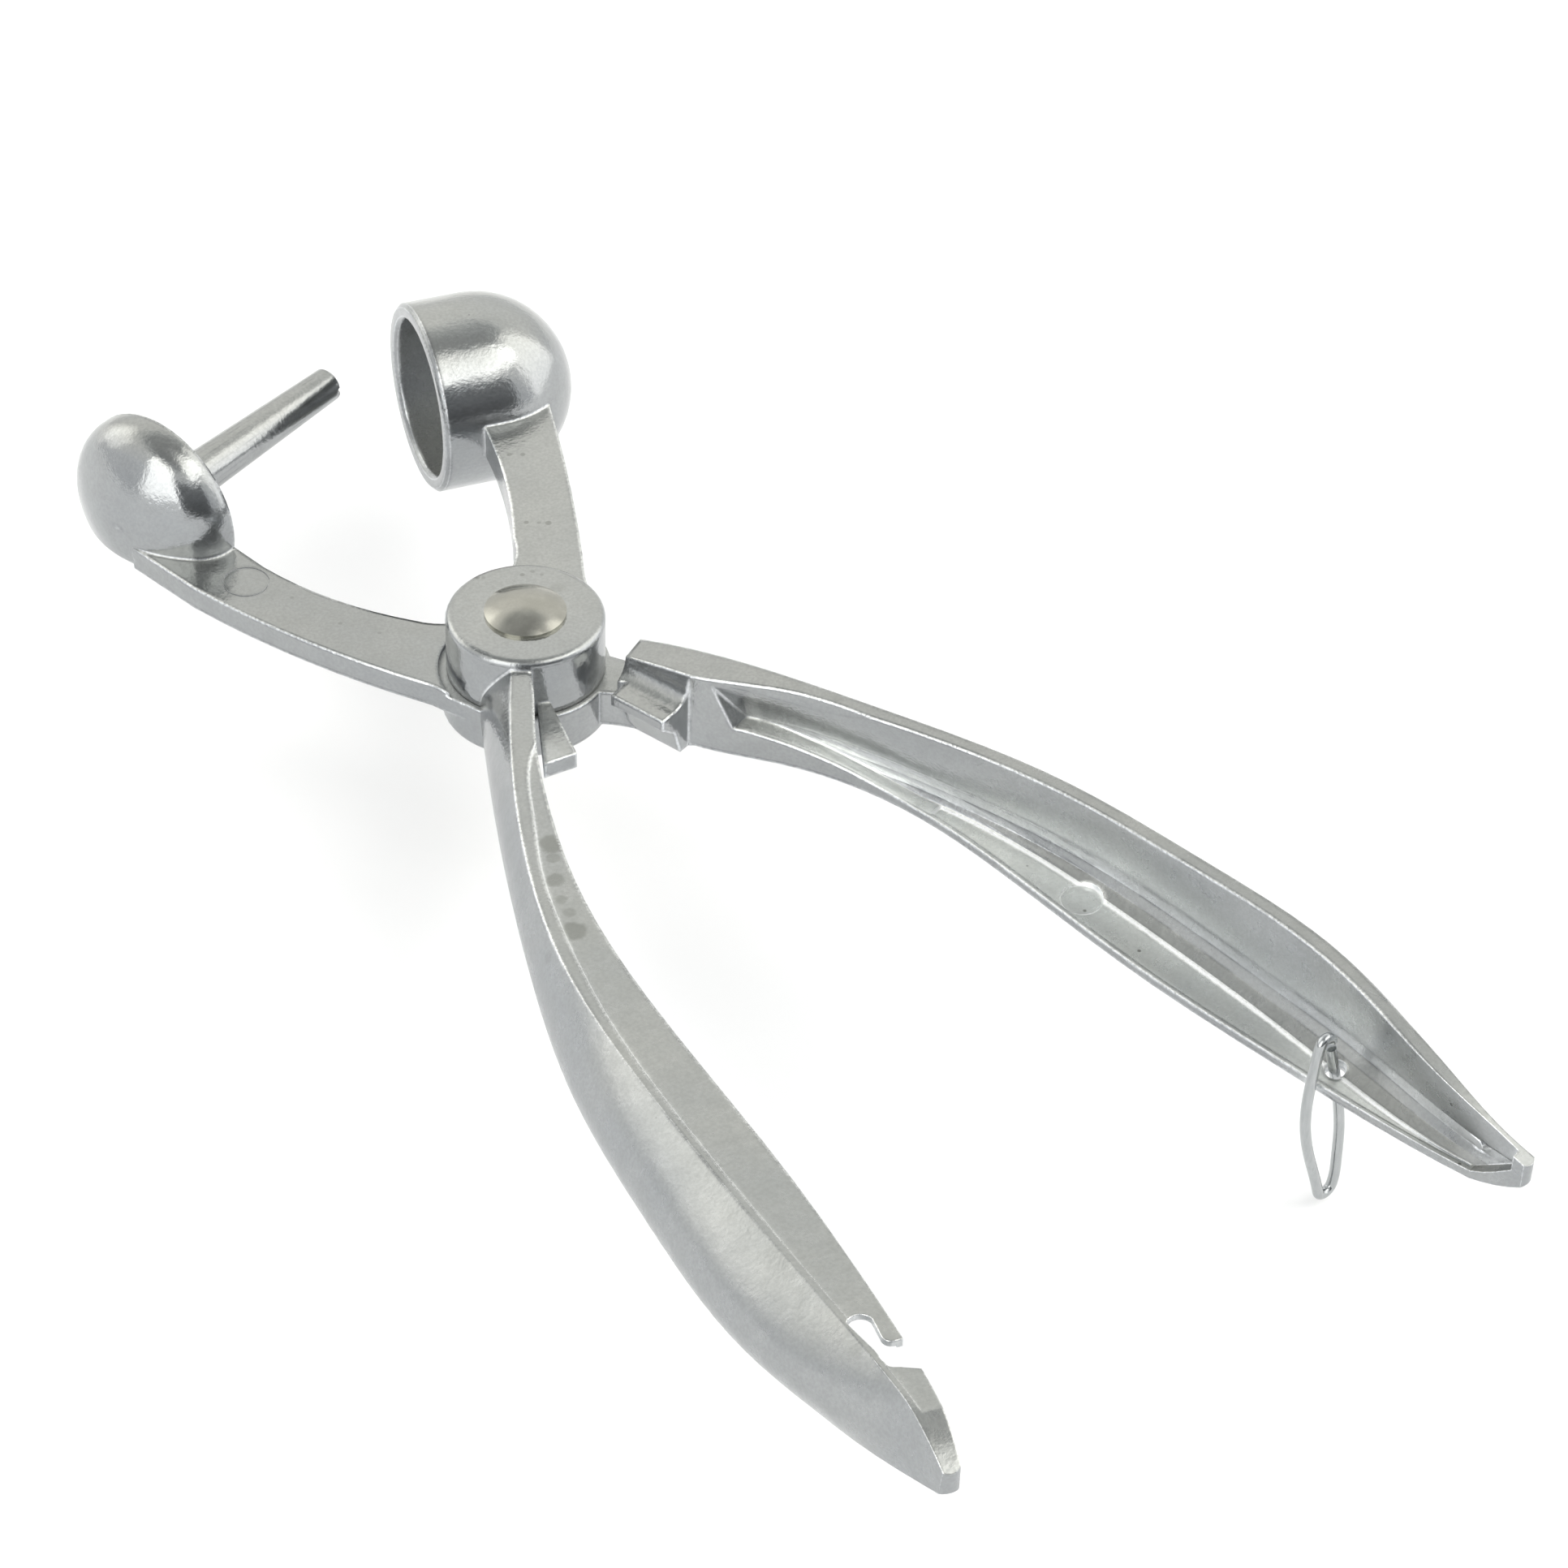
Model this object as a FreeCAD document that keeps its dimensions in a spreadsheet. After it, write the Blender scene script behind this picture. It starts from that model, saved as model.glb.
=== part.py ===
import FreeCAD, Part
import math
import os
import re

import Sketcher
from FreeCAD import Placement, Rotation, Vector

# Olive pitter of the plier type: two die-cast levers on one rivet.
#
# The frame is the cup lever's. The origin is on the pivot axis at the underside of the hub,
# +Z points up through the rivet head and +Y from the pivot to the two heads, whose common
# axis is parallel to X when the tool is shut. Both levers are drawn in the shut position,
# then the plunger lever and its ring are turned open about Z.
#
# The handles are the same form turned over: whatever the cup lever has above the parting
# level, the plunger lever has below it. A handle is drawn with u, the distance out from the
# shut tool's middle line, and v, the distance from the pivot towards the tip.

SIZES = {
    # hub
    "mid_level": 6.7,            # parting level of the handles
    "hub_height": 13.4,
    "hub_radius": 9.0,           # upper disc, on the cup lever
    "lower_radius": 9.6,         # lower disc, on the plunger lever
    "split_level": 5.8,          # top of the lower disc
    "face_gap": 0.1,
    "turn_gap": 0.35,            # round the upper disc
    "sweep_gap": 0.55,           # round the lower disc
    "edge_round": 0.8,
    "open_angle": 32.0,
    # rivet, washer and spring
    "pin_radius": 2.5,
    "pin_gap": 0.05,
    "head_radius": 4.65,
    "head_rise": 1.6,
    "head_lip": 0.35,
    "washer_radius": 4.4,
    "washer_height": 0.8,
    "tail_radius": 3.6,
    "tail_rise": 0.9,
    "spring_wire": 1.3,
    "spring_radius": 4.6,
    "spring_turns": 3.0,
    "spring_pitch": 1.75,
    "spring_seat": 0.15,
    "cavity_floor": 2.4,
    "cavity_gap": 0.3,
    "leg_reach": 7.4,
    "leg_heading": 100.0,
    # handles
    "handle_length": 131.0,
    "handle_swell": 16.7,
    "handle_depth": 11.2,
    "web": 1.0,                  # thickness of the flat web or floor
    "lip_width": 0.6,            # raised lip along the web's free edge
    "lip_height": 0.3,
    "rim_width": 1.8,
    "corner_width": 0.5,         # from the ridge in to where the wall meets the web
    "crease_rise": 1.5,          # from the parting level to the crease inside, web side
    "crease_step": 0.15,         # ledge that the crease leaves in the wall
    "root_wall": 3.0,            # extra wall where the hollow starts, fading out
    "root_run": 16.0,
    "tip_share": 0.3,            # share of the wall that is left at the tip
    "tip_run": 30.0,
    "tip_wall": 0.9,
    "hollow_start": 20.5,        # at the rim
    "mouth_start": 24.5,         # at the crease
    "hollow_from_tip": 2.6,
    "floor_from_tip": 7.0,
    "ramp_start": 26.0,          # the hollow deepens from here to the floor
    "floor_start": 46.0,
    "floor_margin": 0.3,         # round the sunk floor, inside the wall's corner
    "floor_lead": 2.5,
    "cup_tip": 0.2,              # from the middle line to each lever's tip
    "plunger_tip": 1.9,
    "tip_swell": 1.9,            # width of the tip before it is rounded
    "ridge_shift": 0.5,          # at the tip, from the outer wall to the ridge
    "rail_end": 0.6,             # the outer wall's curves end before the tip
    "edge_end": 0.3,
    "strip_shift": 0.6,
    "strip_run_out": 1.0,
    "tip_round": 1.35,
    "nose_length": 0.6,
    "nose_web_run": 10.0,
    "nose_web_drop": 2.7,
    "nose_rim_run": 25.0,
    "nose_rim_drop": 6.1,
    "neck_end": 11.3,
    "heel_start": 9.5,
    "heel_run": 34.0,            # the rim bends down over this length at the hub
    "heel_drop": 3.0,
    "strip_step": 0.25,          # the web's flat lies this far below its ridge
    # closing stop
    "stop_gap": 0.2,             # each side of the middle line
    "lug_level": 7.6,
    "lug_height": 2.0,
    "lug_end": 18.4,
    "block_start": 12.2,
    "block_rib": 0.9,
    # arms and heads
    "axis_level": 8.2,           # height of the punch and of the cup's centre
    "cup_reach": 48.8,
    "head_reach": 50.2,
    "cup_radius": 11.5,
    "cup_wall": 2.0,
    "cup_mouth": 2.6,
    "cup_depth": 7.3,            # straight part of the cup
    "mouth_bevel": 0.45,
    "cup_arm_top": 10.7,
    "cup_arm_height": 4.1,
    "plunger_arm_top": 6.5,
    "plunger_arm_height": 3.0,
    "dome_face": 5.6,
    "dome_radius": 11.2,
    "dome_depth": 7.7,
    "dome_lip": 0.7,
    "dome_round": 5.0,           # tighter of the two radii of the dome's profile
    "punch_length": 29.2,
    "punch_root": 2.8,
    "punch_tip": 2.1,
    "punch_fillet": 1.2,
    "tip_bevel": 0.35,
    "tip_slot": 0.45,            # half width of the slot across the punch's tip
    "tip_slot_depth": 0.6,
    "exit_gap": 0.7,
    # lock ring and its hook
    "ring_wire": 1.2,
    "ring_width": 6.3,
    "ring_drop": 18.3,           # below the floor of the handle
    "ring_hole": 1.15,
    "ring_from_tip": 25.7,
    "ring_margin": 3.0,
    "ring_heading": 170.0,
    "hook_from_tip": 17.4,
    # ejector pin marks
    "arm_mark": 2.7,
    "floor_mark": 2.4,
    "mark_line": 0.16,
    "mark_depth": 0.12,
}

# Handle curves, as parts of handle_swell (u) and handle_length (v).
RIDGE = ((0.216, 0.046), (0.455, 0.134), (0.754, 0.290), (0.844, 0.405),
         (0.677, 0.605), (0.437, 0.761), (0.186, 0.916))
BULGE = ((0.419, 0.038), (0.593, 0.126), (0.844, 0.285), (1.000, 0.504),
         (0.880, 0.678), (0.611, 0.836), (0.220, 0.947))
RIM = ((0.371, 0.038), (0.515, 0.130), (0.766, 0.305), (0.934, 0.473),
       (0.862, 0.626), (0.671, 0.775), (0.246, 0.916))
CUP_EDGE = ((0.120, 0.053), (0.180, 0.091), (0.300, 0.141), (0.425, 0.214), (0.521, 0.336),
            (0.371, 0.532), (0.162, 0.687), (0.024, 0.840), (-0.018, 0.931))
PLUNGER_EDGE = ((0.000, 0.061), (0.150, 0.085), (0.311, 0.159), (0.520, 0.229), (0.665, 0.350),
                (0.557, 0.458), (0.323, 0.611), (0.180, 0.763), (0.098, 0.905))
# The crease inside the hollow, between the wall's two concave halves.
CREASE = ((0.440, 0.150), (0.513, 0.173), (0.638, 0.215), (0.817, 0.338), (0.880, 0.450), (0.872, 0.525),
          (0.785, 0.611), (0.685, 0.687), (0.570, 0.763), (0.468, 0.824), (0.310, 0.893))
# The wall's concave lower half: share of the way across from its corner with the floor to
# the crease, share of the way up, and share of the way from the floor's ends to the crease's.
COVES = (("LowCove", 0.55, 0.22, 0.30), ("HighCove", 0.86, 0.55, 0.62))
# Inner edge of the ridge that borders the web.
STRIP = ((0.230, 0.143), (0.401, 0.169), (0.497, 0.198), (0.569, 0.237), (0.677, 0.295),
         (0.749, 0.394), (0.735, 0.490), (0.620, 0.605), (0.385, 0.761), (0.145, 0.916))
# The wire's centre line, as parts of ring_width across and ring_drop along, from its short
# end above the floor, through the hole and round to the end that butts against it.
RING = ((0.222, 0.270), (0.119, 0.140), (0.000, 0.000), (-0.190, -0.260), (-0.320, -0.520),
        (-0.360, -0.760), (-0.346, -0.934), (-0.290, -0.981), (-0.156, -1.000), (-0.021, -0.981),
        (0.034, -0.940), (0.250, -0.720), (0.492, -0.470), (0.635, -0.219), (0.635, 0.011),
        (0.575, 0.180), (0.511, 0.322), (0.469, 0.357), (0.368, 0.372), (0.267, 0.357), (0.225, 0.322))

doc = FreeCAD.newDocument("OlivePitter")


def make_sheet():
    """The driving dimensions, in mm and degrees, one alias to a row."""
    sheet = doc.addObject("Spreadsheet::Sheet", "Sizes")
    for row, (alias, value) in enumerate(SIZES.items(), 1):
        sheet.set("A%d" % row, alias)
        sheet.set("B%d" % row, str(value))
        sheet.setAlias("B%d" % row, alias)
    doc.recompute()
    return sheet


sizes = make_sheet()
WORD = re.compile(r"[a-z]+(?:_[a-z]+)*")


def bound(text):
    """An expression in which each size name reads its cell."""
    return WORD.sub(lambda m: "Sizes." + m.group() if m.group() in SIZES else m.group(), str(text))


def value(text):
    """The number that an expression has now."""
    return float(sizes.evalExpression(bound(text)))


# ---------------------------------------------------------------- sketch helpers

def new_body(label):
    body = doc.addObject("PartDesign::Body", label)
    body.Label = label
    return body


def new_sketch(body, name, role, level="0", across="0"):
    """An empty sketch on one of the body's origin planes, moved off it and across it."""
    sketch = body.newObject("Sketcher::SketchObject", name)
    plane = next(f for f in body.Origin.OriginFeatures if f.Role == role)
    sketch.AttachmentSupport = [(plane, "")]
    sketch.MapMode = "FlatFace"
    sketch.setExpression("AttachmentOffset.Base.z", bound(level))
    sketch.setExpression("AttachmentOffset.Base.y", bound(across))
    return sketch


def pin_point(sketch, geo, end, x, y):
    """Holds one end of an edge at expressions for its two distances from the origin."""
    for kind, text in (("DistanceX", x), ("DistanceY", y)):
        index = sketch.addConstraint(Sketcher.Constraint(kind, -1, 1, geo, end, value(text)))
        sketch.setExpression("Constraints[%d]" % index, bound(text))


def circle(sketch, x, y, radius):
    centre = Vector(value(x), value(y), 0)
    geo = sketch.addGeometry(Part.Circle(centre, Vector(0, 0, 1), value(radius)), False)
    pin_point(sketch, geo, 3, x, y)
    index = sketch.addConstraint(Sketcher.Constraint("Radius", geo, value(radius)))
    sketch.setExpression("Constraints[%d]" % index, bound(radius))


def arc_between(start, end, radius):
    """The short arc from start to end; a negative radius bends it to the right."""
    chord = end - start
    half = chord.Length / 2
    rise = math.sqrt(max(radius * radius - half * half, 0.0))
    normal = Vector(-chord.y, chord.x, 0).normalize()
    side = 1 if radius > 0 else -1
    centre = (start + end) * 0.5 + normal * (side * rise)
    middle = centre - normal * (side * abs(radius))
    return Part.Arc(start, middle, end)


def outline(sketch, points):
    """A closed outline. A point is (x, y), or (x, y, radius) where an arc arrives at it."""
    here = [Vector(value(p[0]), value(p[1]), 0) for p in points]
    edges = []
    for i, point in enumerate(points):
        start, end = here[i - 1], here[i]
        if len(point) == 2:
            edges.append((sketch.addGeometry(Part.LineSegment(start, end), False), 1, 2))
            continue
        radius = value(point[2])
        geo = sketch.addGeometry(arc_between(start, end, radius), False)
        edges.append((geo, 1, 2) if radius > 0 else (geo, 2, 1))
        index = sketch.addConstraint(Sketcher.Constraint("Radius", geo, abs(radius)))
        sketch.setExpression("Constraints[%d]" % index, "abs(%s)" % bound(point[2]))
    for i, point in enumerate(points):
        geo, _, end = edges[i]
        following, start, _ = edges[(i + 1) % len(edges)]
        sketch.addConstraint(Sketcher.Constraint("Coincident", geo, end, following, start))
        pin_point(sketch, geo, end, point[0], point[1])


def curves(sketch, edges):
    for edge in edges:
        sketch.addGeometry(edge, False)


# ---------------------------------------------------------------- feature helpers

def feature(body, kind, name, profile):
    made = body.newObject("PartDesign::" + kind, name)
    made.Profile = profile
    return made


def pad(body, name, sketch, length, reverse=False):
    made = feature(body, "Pad", name, sketch)
    made.setExpression("Length", bound(length))
    made.Reversed = reverse
    return made


def pocket(body, name, sketch, length, reverse=False):
    made = feature(body, "Pocket", name, sketch)
    made.setExpression("Length", bound(length))
    made.Reversed = reverse
    return made


def turn(body, kind, name, sketch, axis, angle=360.0):
    made = feature(body, kind, name, sketch)
    made.ReferenceAxis = (sketch, [axis])
    made.Angle = angle
    return made


def loft(body, kind, name, sketches, ruled=False):
    made = feature(body, kind, name, sketches[0])
    made.Sections = [(s, [""]) for s in sketches[1:]]
    made.Ruled = ruled
    return made


# ---------------------------------------------------------------- handle curves

def rail(table, side, tip, short=0.0):
    """A handle curve as a spline in the plan, from the hub to the tip."""
    points = []
    for u, v in table:
        points.append(Vector(side * u * value("handle_swell"), -v * value("handle_length"), 0))
    points.append(Vector(side * tip, short - value("handle_length"), 0))
    return through(points)


def station(spline, v):
    """The parameter at which a handle curve is v from the pivot."""
    low, high = spline.FirstParameter, spline.LastParameter
    for _ in range(40):
        middle = (low + high) / 2
        if -spline.value(middle).y < v:
            low = middle
        else:
            high = middle
    return low


STEPS = 9
HOLLOW_END = "(handle_length - hollow_from_tip)"
FLOOR_END = "(handle_length - floor_from_tip)"


def stations(start, last):
    """Distances from the pivot along the hollow's length."""
    first, last = value(start), value(last)
    return [first + (last - first) * i / STEPS for i in range(STEPS + 1)]


def inset(spline, side, amount, line):
    """Points at a line of stations, moved inwards from a handle curve by a wall that is
    thicker at the hub and thinner at the tip."""
    length = value("handle_length")
    moved = []
    for v in line:
        root = value("root_wall") * max(0.0, 1 - (v - value("hollow_start")) / value("root_run"))
        left = min(1.0, value("tip_share") + (length - v) / value("tip_run"))
        moved.append(beside(spline, side, v, (amount + root) * left))
    return moved


def beside(spline, side, v, amount):
    """The point of a handle curve at v, moved by an amount towards the middle line."""
    t = station(spline, v)
    along = spline.tangent(t)[0]
    inward = Vector(along.y, -along.x, 0) * (side if along.y < 0 else -side)
    return spline.value(t) + inward * amount


def through(points):
    spline = Part.BSplineCurve()
    spline.interpolate(points)
    return spline


def strip(outer, inner):
    """Closed outline between two handle curves."""
    return [outer,
            Part.LineSegment(outer.EndPoint, inner.EndPoint),
            inner,
            Part.LineSegment(inner.StartPoint, outer.StartPoint)]


def hollow(body, side, name, plans, ruled):
    """Cuts the hollow between plans, each from a line of points to past the middle line."""
    far = -side * value("handle_swell") / 2
    sections = []
    for plan, level, points in plans:
        outer = through(points)
        tip, root = Vector(far, points[-1].y, 0), Vector(far, points[0].y, 0)
        sketch = new_sketch(body, plan, "XY_Plane", level)
        curves(sketch, [outer,
                        Part.LineSegment(outer.EndPoint, tip),
                        Part.LineSegment(tip, root),
                        Part.LineSegment(root, outer.StartPoint)])
        sections.append(sketch)
    loft(body, "SubtractiveLoft", name, sections, ruled)


def handle(body, side, edge_table, tip):
    """A hollow handle: convex outer wall, open rim, and a flat web on the other face."""
    up = -side
    web_face = "mid_level + %d * handle_depth / 2" % up
    lip_top = "mid_level + %d * (handle_depth / 2 - web - lip_height)" % up
    rim_face = "mid_level - %d * handle_depth / 2" % up
    swell = tip + value("tip_swell")
    ridge = rail(RIDGE, side, swell - value("ridge_shift"))
    bulge = rail(BULGE, side, swell, value("rail_end"))
    rim = rail(RIM, side, swell, value("rail_end"))
    edge = rail(edge_table, side, tip, value("edge_end"))

    sections = []
    for name, level, outer in (("RimPlan", rim_face, rim), ("MiddlePlan", "mid_level", bulge),
                               ("WebPlan", web_face, ridge)):
        sketch = new_sketch(body, name, "XY_Plane", level)
        curves(sketch, strip(outer, edge))
        sections.append(sketch)
    loft(body, "AdditiveLoft", "HandleForm", sections)

    crease = rail(CREASE, side, swell - value("tip_wall"))
    crease_level = "mid_level + %d * crease_rise" % up

    plans = [("CornerPlan", 0, 0, 0)] + list(COVES) + [("CreasePlan", 1, 1, 1)]
    for i, (name, across, rise, back) in enumerate(plans):
        line = stations("floor_start + (ramp_start - floor_start) * %g" % back,
                        "%s + (floor_from_tip - hollow_from_tip) * %g" % (FLOOR_END, back))
        corner = inset(ridge, side, value("corner_width"), line)
        points = [a * (1 - across) + crease.value(station(crease, v)) * across
                  for a, v in zip(corner, line)]
        plans[i] = (name, "(%s) * %g + (%s) * %g" % (lip_top, 1 - rise, crease_level, rise), points)
    hollow(body, side, "Hollow", plans, True)

    ledge = [beside(crease, side, v, value("crease_step")) for v in stations("mouth_start", HOLLOW_END)]
    top = inset(rim, side, value("rim_width"), stations("hollow_start", HOLLOW_END))
    hollow(body, side, "Mouth", [("MouthBottom", crease_level, ledge), ("MouthTop", rim_face, top)], False)
    floor(body, side, ridge, edge, lip_top)
    web_flat(body, side, web_face, tip)
    nose(body, up, web_face, rim_face)
    round_tip(body, side, tip)


def floor(body, side, ridge, edge, level):
    """Sinks the floor between the wall's corner and the lip along the free edge."""
    line = stations("floor_start + floor_lead", FLOOR_END + " - floor_margin")
    far = inset(ridge, side, value("corner_width + floor_margin"), line)
    near = [beside(edge, side, v, -value("lip_width")) for v in line]
    sketch = new_sketch(body, "FloorPlan", "XY_Plane", level)
    curves(sketch, strip(through(far), through(near)))
    pocket(body, "Floor", sketch, "lip_height", reverse=side < 0)


def web_flat(body, side, web_face, tip):
    """Sinks the flat of the web below the ridge that borders it."""
    line = rail(STRIP, side, tip + value("strip_shift"), -value("strip_run_out"))
    far = [Vector(-side * value("handle_swell") / 2, p.y, 0) for p in (line.StartPoint, line.EndPoint)]
    sketch = new_sketch(body, "StripPlan", "XY_Plane", web_face)
    curves(sketch, strip(line, Part.LineSegment(far[0], far[1])))
    pocket(body, "Strip", sketch, "strip_step", reverse=side > 0)


def round_tip(body, side, tip):
    """Rounds the tip in the plan."""
    middle = "%d * (%s + tip_swell / 2)" % (side, tip)
    start, beyond = "nose_length + tip_round - handle_length", "-handle_length - 1"
    left, right = middle + " - tip_round", middle + " + tip_round"
    sketch = new_sketch(body, "TipPlan", "XY_Plane", "-1")
    outline(sketch, [(left, start), (right, start, "tip_round * 1.02"), (right + " * 3", start),
                     (right + " * 3", beyond), (left + " * 3", beyond), (left + " * 3", start)])
    pocket(body, "TipRound", sketch, "handle_depth * 2", reverse=True)


def nose(body, up, web_face, rim_face):
    """Both faces curve together at the tip, the rim's more than the web's."""
    web_end = "%s - %d * nose_web_drop" % (web_face, up)
    rim_end = "%s + %d * nose_rim_drop" % (rim_face, up)
    tip = "nose_length - handle_length"
    radius = "%d * (pow(%s - nose_length; 2) + pow(%s; 2)) / (2 * %s)"
    sketch = new_sketch(body, "NoseProfile", "YZ_Plane")
    outline(sketch, [("nose_web_run - handle_length", "%s + %d" % (web_face, up)),
                     ("nose_web_run - handle_length", web_face),
                     (tip, web_end, radius % (up, "nose_web_run", "nose_web_drop", "nose_web_drop")),
                     (tip, rim_end),
                     ("nose_rim_run - handle_length", rim_face,
                      radius % (up, "nose_rim_run", "nose_rim_drop", "nose_rim_drop")),
                     ("nose_rim_run - handle_length", "%s - %d" % (rim_face, up)),
                     ("-handle_length - 2", "%s - %d" % (rim_face, up)),
                     ("-handle_length - 2", "%s + %d" % (web_face, up))])
    cut = pocket(body, "Nose", sketch, "handle_swell")
    cut.Midplane = True


# ---------------------------------------------------------------- cup lever

CUP_INSIDE = "(cup_radius - cup_wall)"
# The punch swings into the cup on an arc, so the pit exit reaches further out than in.
EXIT_OUT = ("(sqrt(pow(punch_length - dome_face; 2) + pow(head_reach; 2)"
            " - pow(cup_mouth + cup_depth + 0.8 * %s; 2)) - cup_reach + punch_tip + exit_gap)"
            % CUP_INSIDE)
EXIT_IN = "(punch_tip + exit_gap - head_reach + cup_reach)"
SPRING_FOOT = "(cavity_floor + spring_wire / 2 + spring_seat)"
SPRING_TOP = "(%s + spring_turns * spring_pitch)" % SPRING_FOOT
CAVITY_TOP = "(%s + spring_wire / 2 + spring_seat)" % SPRING_TOP
CAVITY_RADIUS = "(spring_radius + spring_wire / 2 + cavity_gap)"
PIN_BORE = "(pin_radius + pin_gap)"


def cup_lever():
    body = new_body("cup_arm")
    handle(body, -1, CUP_EDGE, value("cup_tip"))
    cup_arm_plate(body)
    cup_stop(body)
    cup_hook(body)

    clear = new_sketch(body, "SweepPlan", "XY_Plane", "-1")
    circle(clear, "0", "0", "lower_radius + sweep_gap")
    pocket(body, "Sweep", clear, "split_level + face_gap + 1", reverse=True)

    disc = new_sketch(body, "DiscProfile", "XZ_Plane")
    outline(disc, [("0", "split_level + face_gap"), ("hub_radius", "split_level + face_gap"),
                   ("hub_radius", "hub_height - edge_round"),
                   ("hub_radius - edge_round", "hub_height", "edge_round"), ("0", "hub_height")])
    turn(body, "Revolution", "Disc", disc, "V_Axis")

    bore = new_sketch(body, "BoreProfile", "XZ_Plane")
    outline(bore, [("0", "split_level"), (CAVITY_RADIUS, "split_level"), (CAVITY_RADIUS, CAVITY_TOP),
                   (PIN_BORE, CAVITY_TOP), (PIN_BORE, "hub_height + 1"), ("0", "hub_height + 1")])
    turn(body, "Groove", "Bore", bore, "V_Axis")
    leg_slot(body, "split_level", "%s - split_level" % CAVITY_TOP, value("leg_heading"))
    cup(body)
    return body


def cup_arm_plate(body):
    arm = new_sketch(body, "ArmPlan", "XY_Plane", "cup_arm_top - cup_arm_height")
    outline(arm, [("8.9", "-1.0"), ("10.4", "10.5", "-32"), ("16.6", "cup_reach - 5.8", "300"),
                  ("7.3", "cup_reach - 5.8"), ("4.0", "16.5", "-75"), ("-0.6", "9.0", "-9")])
    pad(body, "Arm", arm, "cup_arm_height")


def cup(body):
    """A round cup that opens towards the punch, closed by half a ball with the pit exit in it."""
    shell = new_sketch(body, "CupProfile", "XY_Plane", "axis_level", "cup_reach")
    outline(shell, [("cup_mouth", "0"), ("cup_mouth", "cup_radius - mouth_bevel"),
                    ("cup_mouth + mouth_bevel", "cup_radius"), ("cup_mouth + cup_depth", "cup_radius"),
                    ("cup_mouth + cup_depth + cup_radius", "0", "-cup_radius")])
    turn(body, "Revolution", "Cup", shell, "H_Axis")
    inside = new_sketch(body, "CupInside", "XY_Plane", "axis_level", "cup_reach")
    outline(inside, [("cup_mouth - 1", "0"), ("cup_mouth - 1", CUP_INSIDE + " + mouth_bevel"),
                     ("cup_mouth", CUP_INSIDE + " + mouth_bevel"),
                     ("cup_mouth + mouth_bevel", CUP_INSIDE), ("cup_mouth + cup_depth", CUP_INSIDE),
                     ("cup_mouth + cup_depth + " + CUP_INSIDE, "0", "-" + CUP_INSIDE)])
    turn(body, "Groove", "CupHollow", inside, "H_Axis")
    hole = new_sketch(body, "ExitPlan", "YZ_Plane", "cup_mouth + cup_depth")
    circle(hole, "cup_reach + (%s - %s) / 2" % (EXIT_OUT, EXIT_IN), "axis_level",
           "(%s + %s) / 2" % (EXIT_OUT, EXIT_IN))
    pocket(body, "Exit", hole, "cup_radius + 1", reverse=True)


def cup_stop(body):
    """The lug that meets the other lever's block when the tool is shut."""
    lug = new_sketch(body, "LugPlan", "XY_Plane", "lug_level - lug_height")
    outline(lug, [("-stop_gap", "-hub_radius + 0.5"), ("-stop_gap", "-lug_end"),
                  ("-4.2", "-lug_end - 0.6"), ("-1.5", "-hub_radius + 0.5")])
    pad(body, "Lug", lug, "lug_height")


def cup_hook(body):
    """A slot that leaves a finger pointing at the tip, for the ring to be dropped over."""
    slot = new_sketch(body, "HookPlan", "XY_Plane", "mid_level + handle_depth / 2 + 1")
    along = "hook_from_tip - handle_length"
    outline(slot, [("2.5", along + " - 1.0"), ("-0.9", along + " - 1.0"),
                   ("-1.9", along, "-1.0"), ("-1.9", along + " + 2.4"),
                   ("-4.5", along + " + 2.4", "1.36"), ("-3.1", along + " - 2.2"),
                   ("-1.8", along + " - 4.2", "1.6"), ("2.5", along + " - 6.2")])
    pocket(body, "Hook", slot, "web + 1.5")


def leg_slot(body, level, height, heading):
    """A radial slot from the spring cavity, for one leg of the spring."""
    slot = new_sketch(body, "LegPlan", "XY_Plane", level)
    half = "(spring_wire / 2 + spring_seat)"
    outline(slot, [("spring_radius", "-" + half), ("leg_reach + cavity_gap", "-" + half),
                   ("leg_reach + cavity_gap", half), ("spring_radius", half)])
    slot.AttachmentOffset = Placement(slot.AttachmentOffset.Base, Rotation(Vector(0, 0, 1), heading))
    slot.setExpression("AttachmentOffset.Base.z", bound(level))
    pocket(body, "LegSlot", slot, height, reverse=True)


# ---------------------------------------------------------------- plunger lever

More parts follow.
